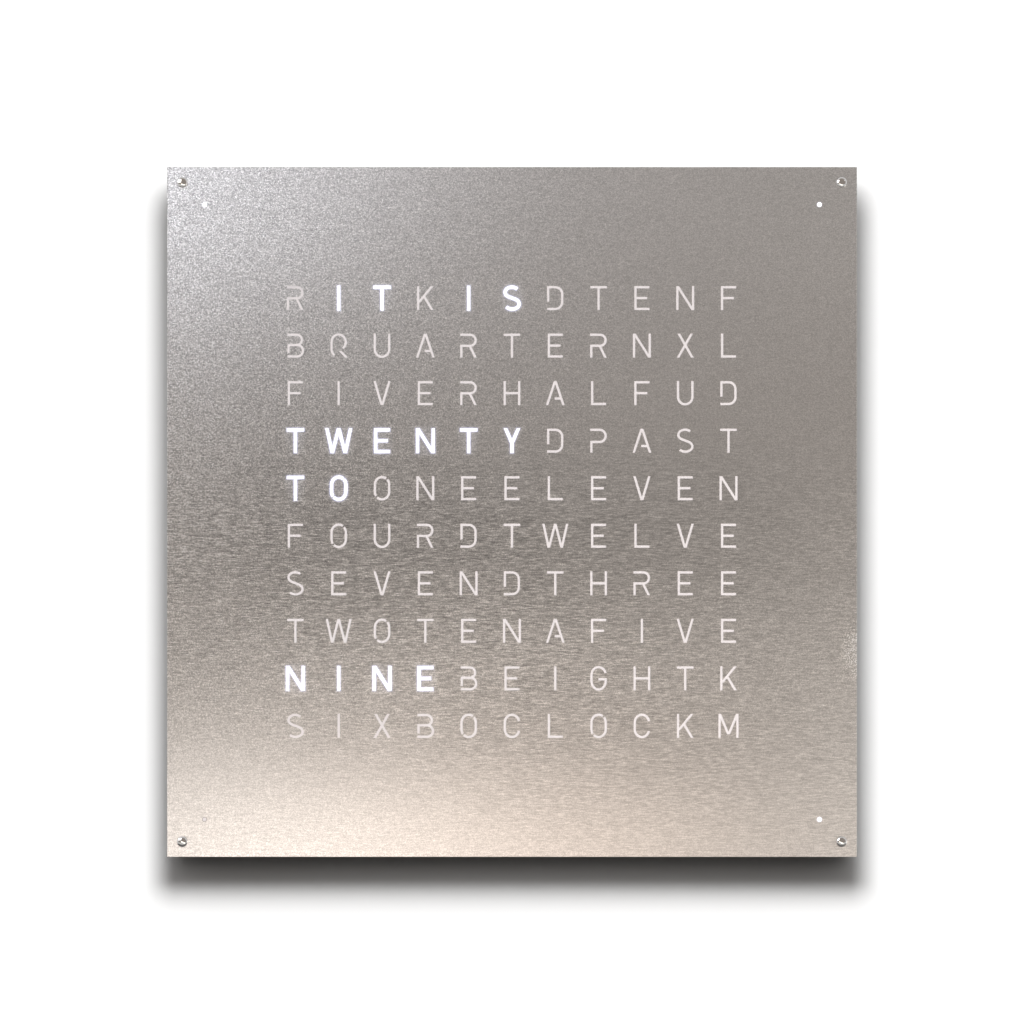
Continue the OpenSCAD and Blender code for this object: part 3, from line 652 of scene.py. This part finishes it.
def streak_share(tree, x, z):
    """Strength of the streaks, which fade towards the top, the right and the left foot: real grain, with its
    change over the plate painted to follow where the light glints on it.
    """
    slanted = plus(tree, z, times(tree, x, STREAK_SLANT))
    upwards = remap(tree, z, *STREAKS_MIDDLE, *STREAK_AMOUNTS)
    share = times(tree, upwards, remap(tree, slanted, *STREAKS_AT_FOOT))
    return times(tree, share, remap(tree, x, *STREAKS_TO_RIGHT))


def painted_sheen_and_shade(tree, x, z):
    """Painted shade and painted sheen: broad bands and top corners darker or brighter, about one, standing in
    for how the light falls unevenly on the steel.
    """
    middle = times(tree, band(tree, z, *SHADE_MIDDLE), SHADE_MIDDLE_BY)
    foot = times(tree, band(tree, z, *SHADE_FOOT), SHADE_FOOT_BY)
    shaded = times(tree, plus(tree, middle, foot), remap(tree, x, *SHADE_AT_LEFT))
    shaded = times(tree, shaded, remap(tree, x, *SHADE_AT_RIGHT))
    aside = math_node(tree, "ABSOLUTE", x, 0.0)
    corners = times(tree, remap(tree, z, *SHADE_TOP), remap(tree, aside, *SHADE_ASIDE))
    sheen = times(tree, band(tree, z, *SHEEN_BAND), remap(tree, x, *SHEEN_AT_LEFT))
    return plus(tree, minus(tree, 1.0, plus(tree, shaded, corners)), sheen)


def edge_glints(tree, x, z, specks):
    """Small bright glints at the right edge."""
    share = times(tree, remap(tree, x, *GLINTS_AT_RIGHT), band(tree, z, *GLINT_BAND))
    return times(tree, math_node(tree, "MAXIMUM", specks, 0.0), share)


def glow_spill(tree, shader):
    """Light that spills over the steel round each lit stroke."""
    near = add(tree, "ShaderNodeAttribute", attribute_name=GLOW_LAYER)
    spill = add(tree, "ShaderNodeValToRGB")
    ramp = spill.color_ramp
    ramp.elements[0].color = (*GLOW_AT_EDGE, 1)
    ramp.elements[1].color = (0, 0, 0, 1)
    for reach, colour in GLOW_COLOURS:
        ramp.elements.new(reach / GLOW_END).color = (*colour, 1)
    tree.links.new(remap(tree, near.outputs["Fac"], 0.0, GLOW_END * MM, 0.0, 1.0), spill.inputs[0])
    tree.links.new(spill.outputs["Color"], shader.inputs["Emission Color"])
    shader.inputs["Emission Strength"].default_value = 1.0


def brushed_steel():
    """Stainless steel brushed along X: fine specks, strongest at the left, and short streaks lower down,
    under painted shade and sheen.
    """
    material, tree, shader = new_material("brushed_steel")
    shader.inputs["Metallic"].default_value = 1.0
    shader.inputs["Anisotropic"].default_value = STEEL_ANISOTROPY
    shader.inputs["Roughness"].default_value = STEEL_ROUGH
    tangent = add(tree, "ShaderNodeTangent", direction_type="UV_MAP", uv_map=GRAIN_UV)
    tree.links.new(tangent.outputs[0], shader.inputs["Tangent"])
    place = add(tree, "ShaderNodeTexCoord")
    split = add(tree, "ShaderNodeSeparateXYZ")
    tree.links.new(place.outputs["Object"], split.inputs[0])
    x, z = split.outputs["X"], split.outputs["Z"]
    streaks = noise(tree, STREAK_SCALE, detail=0.0)
    specks = in_deviations(tree, noise(tree, SPECK_SCALE, detail=0.0), SPECK_SPREAD)
    fine = plus(tree, times(tree, specks, speck_share(tree, x, z)),
                times(tree, in_deviations(tree, streaks, STREAK_SPREAD), streak_share(tree, x, z)))
    fine = plus(tree, fine, edge_glints(tree, x, z, specks))
    grain = math_node(tree, "EXPONENT", fine, 0.0)
    # Colour: the steel's own, times the painted shade and sheen, times the grain
    shade(tree, STEEL_COLOUR, times(tree, painted_sheen_and_shade(tree, x, z), grain), shader)
    bump(tree, streaks, STREAK_RELIEF, STREAK_DEPTH, shader)
    glow_spill(tree, shader)
    return material


# ---- Opal resin ----

OPAL = (0.84, 0.81, 0.825)
LIT_OPAL = (0.86, 0.86, 0.87)
LIT_GLOW = (0.97, 0.98, 1.0)
LIT_STRENGTH = 1.15
LIT_ROUGH = 0.4
LIT_CLOUD = 500.0  # per metre
LIT_VARY = 0.04


def lit_resin():
    """Opal resin with a light behind it."""
    material, tree, shader = new_material("opal_lit")
    cloud = noise(tree, (LIT_CLOUD,) * 3, detail=2.0)
    shade(tree, LIT_OPAL, remap(tree, cloud, *NOISE_RANGE, 1 - LIT_VARY, 1 + LIT_VARY), shader)
    shader.inputs["Roughness"].default_value = LIT_ROUGH
    shader.inputs["Emission Color"].default_value = (*LIT_GLOW, 1)
    shader.inputs["Emission Strength"].default_value = LIT_STRENGTH
    return material


steel = brushed_steel()
opal_lit = lit_resin()
opal_plain = plain_material("opal_plain", OPAL, 0.42, grain=700.0, vary=0.05, relief=0.1)
polished = plain_material("polished_steel", (0.80, 0.79, 0.78), 0.07, 1.0,
                          grain=260.0, vary=0.03, relief=0.02)


# ---- Faceplate and letter fillings ----

def set_glow(bm):
    """Stores on the front's points how far each is from the nearest lit stroke."""
    layer = bm.verts.layers.float.new(GLOW_LAYER)
    distance = lit_distance()
    for v in bm.verts:
        at_front = v.co.y < PLATE_FRONT + EDGE_BEVEL / 2
        v[layer] = distance(v.co.x, v.co.z) if at_front else NO_GLOW


points, faces = cut_plate()
plate = slab_from(points, faces, STEEL, PLATE_FRONT, PLATE_REAR)
bevel_border(plate)
flat_uv(plate)
set_glow(plate)
new_piece("stencil_plate", plate, steel, "front_cover", ["faceplate"])

for kind, name, material in ((LIT, "letters_lit", opal_lit), (PLAIN, "letters_plain", opal_plain)):
    filling = slab_from(points, faces, kind, PLATE_FRONT + FILL_RECESS, PLATE_REAR)
    new_piece(name, filling, material, "front_cover")


# ---- Turned pieces ----

STUD_HEAD_R = 3.5 * MM
STUD_EDGE = 0.35 * MM  # upright rim under the dome
STUD_TIP = 0.4 * MM  # chamfer at the pin's end
STUD_STEPS = 64
DOME_STEPS = 16
PLUG_R = MINUTE_R - 0.15 * MM
PLUG_EDGE = 0.15 * MM  # chamfer round the plug's face


def turned(profile, x, z, steps):
    """Solid of revolution about an axis along Y, from (radius, y) points that start and end on the axis."""
    bm = bmesh.new()
    rings = []
    for r, y in profile:
        if r == 0:
            rings.append([bm.verts.new((x, y, z))])
        else:
            rings.append([bm.verts.new((cx, y, cz)) for cx, cz in circle(x, z, r, steps)])
    for low, high in zip(rings, rings[1:]):
        for i in range(steps):
            j = (i + 1) % steps
            loop = [low[i % len(low)], low[j % len(low)], high[j % len(high)], high[i % len(high)]]
            bm.faces.new(list(dict.fromkeys(loop)))
    return bm


def merged(parts):
    """One bmesh from several."""
    whole = bmesh.new()
    for part in parts:
        mesh = bpy.data.meshes.new("part")
        part.to_mesh(mesh)
        part.free()
        whole.from_mesh(mesh)
        bpy.data.meshes.remove(mesh)
    return whole


def stud(sx, sz):
    """Domed head in front of the plate, and the pin behind it."""
    low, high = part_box("cover_studs")
    rise = PLATE_FRONT - low.y - STUD_EDGE
    dome = []
    for i in range(DOME_STEPS + 1):
        a = math.pi / 2 * i / DOME_STEPS
        dome.append((STUD_HEAD_R * math.sin(a), PLATE_FRONT - STUD_EDGE - rise * math.cos(a)))
    pin = [(STUD_PIN_R, PLATE_FRONT), (STUD_PIN_R, high.y - STUD_TIP), (STUD_PIN_R - STUD_TIP, high.y)]
    profile = dome + [(STUD_HEAD_R, PLATE_FRONT)] + pin + [(0, high.y)]
    return turned(profile, sx * STUD_AT, sz * STUD_AT, STUD_STEPS)


def lens(sx, sz):
    """Plug through the plate on a wider flange behind it."""
    low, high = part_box("minute_lenses")
    flange_r = high.x - MINUTE_AT
    profile = [(0, low.y), (PLUG_R - PLUG_EDGE, low.y), (PLUG_R, low.y + PLUG_EDGE),
               (PLUG_R, PLATE_REAR), (flange_r, PLATE_REAR), (flange_r, high.y), (0, high.y)]
    return turned(profile, sx * MINUTE_AT, sz * MINUTE_AT, CIRCLE_STEPS)


studs = merged([stud(sx, sz) for sx, sz in CORNERS])
stud_domes = new_piece("stud_domes", studs, polished, "front_cover", ["cover_studs"],
                       smooth=True)

LENSES = (("minute_lights_lit", opal_lit, True), ("minute_light_plain", opal_plain, False))
for name, material, wanted in LENSES:
    lenses = merged([lens(sx, sz) for sx, sz in CORNERS if ((sx, sz) in LIT_MINUTES) == wanted])
    new_piece(name, lenses, material, "front_cover", ["minute_lenses"])

# ---- Finishes of the other pieces ----

matt_black = plain_material("moulded_black", (0.022, 0.022, 0.024), 0.55, grain=1600.0, vary=0.2, relief=0.35)
grid_black = plain_material("grid_black", (0.035, 0.035, 0.037), 0.6, grain=1500.0, vary=0.2, relief=0.3)
rubber = plain_material("rubber", (0.05, 0.05, 0.05), 0.8, grain=2200.0, vary=0.15, relief=0.3)
nickel = plain_material("nickel", (0.62, 0.61, 0.59), 0.28, 1.0, grain=1200.0, vary=0.08, relief=0.1)
board = plain_material("board_lacquer", (0.02, 0.11, 0.05), 0.35, grain=500.0, vary=0.18, relief=0.12,
                       Coat_Weight=0.3)
package = plain_material("light_package", (0.82, 0.80, 0.74), 0.4, grain=900.0, vary=0.05)
chip = plain_material("chip_plastic", (0.03, 0.03, 0.032), 0.5, grain=1800.0, vary=0.2)
cell = plain_material("cell_steel", (0.70, 0.70, 0.69), 0.22, 1.0, grain=900.0, vary=0.05, relief=0.06)
ivory = plain_material("socket_plastic", (0.72, 0.69, 0.60), 0.5, grain=1100.0, vary=0.08)
ribbon_grey = plain_material("ribbon_plastic", (0.55, 0.55, 0.54), 0.5, grain=1000.0, vary=0.1)
green_block = plain_material("terminal_plastic", (0.05, 0.25, 0.10), 0.5, grain=1100.0, vary=0.1)
lead_grey = plain_material("lead_insulation", (0.10, 0.10, 0.11), 0.45, grain=1400.0, vary=0.1)
contacts = plain_material("contact_metal", (0.66, 0.64, 0.60), 0.25, 1.0,
                          grain=1200.0, vary=0.06, relief=0.06)

FINISHES = {
    matt_black: ["housing_frame", "rear_cover", "jack_pocket", "button_mode", "button_hour", "button_minute"],
    grid_black: ["light_grid", "cell_holder", "switch_bodies", "dc_jack"],
    rubber: ["wall_bumpers"],
    nickel: ["keeper_washers", "ring_magnets", "rear_cover_screws", "grid_screws", "controller_screws",
             "jack_nut", "corner_screws"],
    board: ["led_board", "controller_board", "corner_boards"],
    package: ["leds", "corner_leds"],
    chip: ["controller_chips"],
    cell: ["coin_cell"],
    ivory: ["ribbon_sockets", "corner_sockets"],
    ribbon_grey: ["ribbon_cable"],
    green_block: ["jack_terminal"],
    lead_grey: ["jack_leads", "corner_leads"],
    contacts: ["jack_contacts"],
    opal_plain: ["diffuser_sheet"],
}
for material, names in FINISHES.items():
    for name in names:
        for slot in nodes[name].material_slots:
            slot.material = material

# ---- Wall, floor and studio aids ----

WALL_GAP = 0.2 * MM
WALL_HALF = 3.0
WALL_COLOUR = (0.8, 0.8, 0.8)
WALL_TILT = math.radians(72)  # how far the wall's shading leans up, towards the light from above
FLOOR_Z = -1.5
FLOOR_HALF = 6.0

# Flags: narrow unseen strips behind the plate's edges that widen its shadow on the wall
FLAG_SIDE = PLATE_HALF + 8.8 * MM
FLAG_FOOT = PLATE_HALF + 16 * MM
FLAG_IN = PLATE_HALF - 1 * MM
FLAG_TOP = 0.219
FLAG_Y = PLATE_REAR + 0.5 * MM
FLAGS = {  # low corner and high corner, across and up
    "flag_left": (-FLAG_SIDE, -FLAG_IN, -FLAG_IN, FLAG_TOP),
    "flag_right": (FLAG_IN, -FLAG_IN, FLAG_SIDE, FLAG_TOP),
    "flag_foot": (-FLAG_SIDE, -FLAG_FOOT, FLAG_SIDE, -FLAG_IN),
}

# A grey card below the clock that only mirrors show: the dark foot of each stud's reflection
CARD_HALF = 1.0
CARD_DEPTH = 0.6
CARD_Z = -0.6


def plane(name, corners, material):
    bm = bmesh.new()
    bm.faces.new([bm.verts.new(c) for c in corners])
    piece = mesh_object(name, bm, material)
    return piece


def upright(x0, z0, x1, z1, y):
    """Corners of a rectangle that looks along -Y."""
    return [(x, y, z) for x, z in rect(x0, z0, x1, z1)]


def level(x0, y0, x1, y1, z):
    """Corners of a rectangle that looks up."""
    return [(x, y, z) for x, y in rect(x0, y0, x1, y1)]


def hide_from(rays, piece):
    """Makes rays of some kinds pass through a piece."""
    for ray in rays:
        setattr(piece, "visible_" + ray, False)


def wall_material():
    """Matt wall that shows its front only."""
    material, tree, shader = new_material("wall_paint")
    shader.inputs["Base Color"].default_value = (*WALL_COLOUR, 1)
    shader.inputs["Roughness"].default_value = 1.0
    shader.inputs["Specular IOR Level"].default_value = 0.0
    lean = add(tree, "ShaderNodeCombineXYZ", Y=-math.cos(WALL_TILT), Z=math.sin(WALL_TILT))
    tree.links.new(lean.outputs[0], shader.inputs["Normal"])
    side = add(tree, "ShaderNodeNewGeometry")
    clear = add(tree, "ShaderNodeBsdfTransparent")
    mix = add(tree, "ShaderNodeMixShader")
    tree.links.new(side.outputs["Backfacing"], mix.inputs[0])
    tree.links.new(shader.outputs[0], mix.inputs[1])
    tree.links.new(clear.outputs[0], mix.inputs[2])
    tree.links.new(mix.outputs[0], tree.nodes["Material Output"].inputs["Surface"])
    return material


wall_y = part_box("wall_bumpers")[1].y + WALL_GAP
wall = plane("wall", upright(-WALL_HALF, FLOOR_Z, WALL_HALF, WALL_HALF, wall_y), wall_material())
hide_from(("diffuse", "glossy", "transmission", "shadow"), wall)
for name, extent in FLAGS.items():
    flag = plane(name, upright(*extent, FLAG_Y), matt_black)
    hide_from(("camera", "diffuse", "glossy", "transmission"), flag)
card_grey = plain_material("card_grey", (0.15, 0.145, 0.14), 0.8, grain=40.0, vary=0.02, relief=0.0)
card = plane("card", level(-CARD_HALF, -CARD_DEPTH, CARD_HALF, 0, CARD_Z), card_grey)
hide_from(("camera", "diffuse", "transmission", "shadow"), card)
floor_paint = plain_material("floor_paint", (0.85, 0.85, 0.84), 0.9, grain=40.0, vary=0.02, relief=0.0)
plane("floor", level(-FLOOR_HALF, -FLOOR_HALF, FLOOR_HALF, FLOOR_HALF, FLOOR_Z), floor_paint)

# ---- Light from all round ----

AIR_FRONT = (0.295, 0.26, 0.234)
AIR_ROUND = (0.80, 0.80, 0.80)
AIR_CHANGE = (-0.80, -0.35)  # between which directions' Y the front's grey turns into the pale rest


def studio_air():
    """Pale all round, and a dim grey towards the side that the clock faces."""
    world = bpy.data.worlds.new("studio")
    bpy.context.scene.world = world
    world.use_nodes = True
    tree = world.node_tree
    place = add(tree, "ShaderNodeTexCoord")
    split = add(tree, "ShaderNodeSeparateXYZ")
    tree.links.new(place.outputs["Generated"], split.inputs[0])
    front = remap(tree, split.outputs["Y"], *AIR_CHANGE, 0.0, 1.0)
    mix = add(tree, "ShaderNodeMix", data_type="RGBA")
    factor, first, second = mix.inputs[0], mix.inputs[6], mix.inputs[7]
    tree.links.new(front, factor)
    first.default_value = (*AIR_FRONT, 1)
    second.default_value = (*AIR_ROUND, 1)
    tree.links.new(mix.outputs[2], tree.nodes["Background"].inputs["Color"])


studio_air()

# ---- Lamps, each for one group of pieces ----

WASH_ELEVATION = 31  # degrees, like the next
WASH_ANGLE = 56
WASH_STRENGTH = 5.6

# Each lamp's place, size, strength, colour and roll in degrees
WHITE = (1, 1, 1)
BODY_LAMPS = {
    "cool_high": ((-0.5, -1.1, 0.5), (0.5, 0.5), 2.40, (0.86, 0.90, 1.0), 0),
    "warm_low": ((-0.25, -0.7, -0.4), (0.35, 0.35), 0.84, (1.0, 0.94, 0.89), 0),
    "warm_middle": ((0, -0.7, -0.4), (0.35, 0.35), 0.46, (1.0, 0.78, 0.63), 0),
    "side_low": ((0.9, -0.7, -0.4), (0.35, 0.35), 6.5, (1.0, 0.94, 0.87), 0),
    "side_high": ((0.5, -1.1, 0.5), (0.5, 0.5), 0.39, WHITE, 0),
}
# What the polished studs mirror: a window high at the left, a warm strip low down, a small pane at the right
STUD_LAMPS = {
    "window": ((-2.0, -2.0, 1.1), (2.8, 1.6), 32, WHITE, 0),
    "strip": ((0.04, -3.0, -0.83), (2.4, 0.5), 7.5, (1.0, 0.95, 0.86), -24),
    "pane": ((1.78, -2.07, 1.24), (0.5, 0.3), 0.45, WHITE, 0),
}


def linked_group(name, pieces, state="INCLUDE"):
    """Collection that ties a lamp to some pieces, or to all but those pieces."""
    group = bpy.data.collections.new(name)
    for piece in pieces:
        group.objects.link(piece)
    for link in group.collection_objects:
        link.light_linking.link_state = state
    return group


def new_lamp(name, kind, strength, group):
    """Lamp of a kind, for one group of pieces."""
    data = bpy.data.lights.new(name, kind)
    data.energy = strength
    lamp = bpy.data.objects.new(name, data)
    bpy.context.scene.collection.objects.link(lamp)
    lamp.light_linking.receiver_collection = group
    return lamp


def area_light(name, place, size, strength, colour, roll, group):
    """Soft light aimed at the clock's middle, rolled about its own axis."""
    lamp = new_lamp(name, "AREA", strength, group)
    lamp.data.shape = "RECTANGLE"
    lamp.data.size, lamp.data.size_y = size
    lamp.data.color = colour
    lamp.location = place
    aim = (-Vector(place)).to_track_quat("-Z", "Y")
    lamp.rotation_euler = (aim @ Quaternion((0, 0, 1), math.radians(roll))).to_euler()
    lamp.visible_camera = False


def wall_wash(group):
    """Broad distant light from above in front."""
    lamp = new_lamp("wall_wash", "SUN", WASH_STRENGTH, group)
    lamp.data.angle = math.radians(WASH_ANGLE)
    lamp.rotation_euler = (math.radians(90 - WASH_ELEVATION), 0, 0)


wall_wash(linked_group("wall_only", [wall]))
studs_only = linked_group("studs_only", [stud_domes])
all_but_studs = linked_group("all_but_studs", [stud_domes, wall], "EXCLUDE")
for name, lamp in BODY_LAMPS.items():
    area_light(name, *lamp, all_but_studs)
for name, lamp in STUD_LAMPS.items():
    area_light(name, *lamp, studs_only)

# ---- Camera ----

CAMERA_LENS = 100.0  # millimetres, like the next
CAMERA_SENSOR = 36.0
VIEW_WIDTH = 667.8 * MM  # what the picture's width takes in at the plate


def front_camera():
    """Camera square in front of the clock."""
    data = bpy.data.cameras.new("camera")
    data.lens = CAMERA_LENS
    data.sensor_width = CAMERA_SENSOR
    camera = bpy.data.objects.new("camera", data)
    camera.location = (0, PLATE_FRONT - VIEW_WIDTH * CAMERA_LENS / CAMERA_SENSOR, 0)
    camera.rotation_euler = (math.pi / 2, 0, 0)
    bpy.context.scene.collection.objects.link(camera)
    bpy.context.scene.camera = camera


front_camera()
bpy.context.scene.view_settings.view_transform = "Standard"
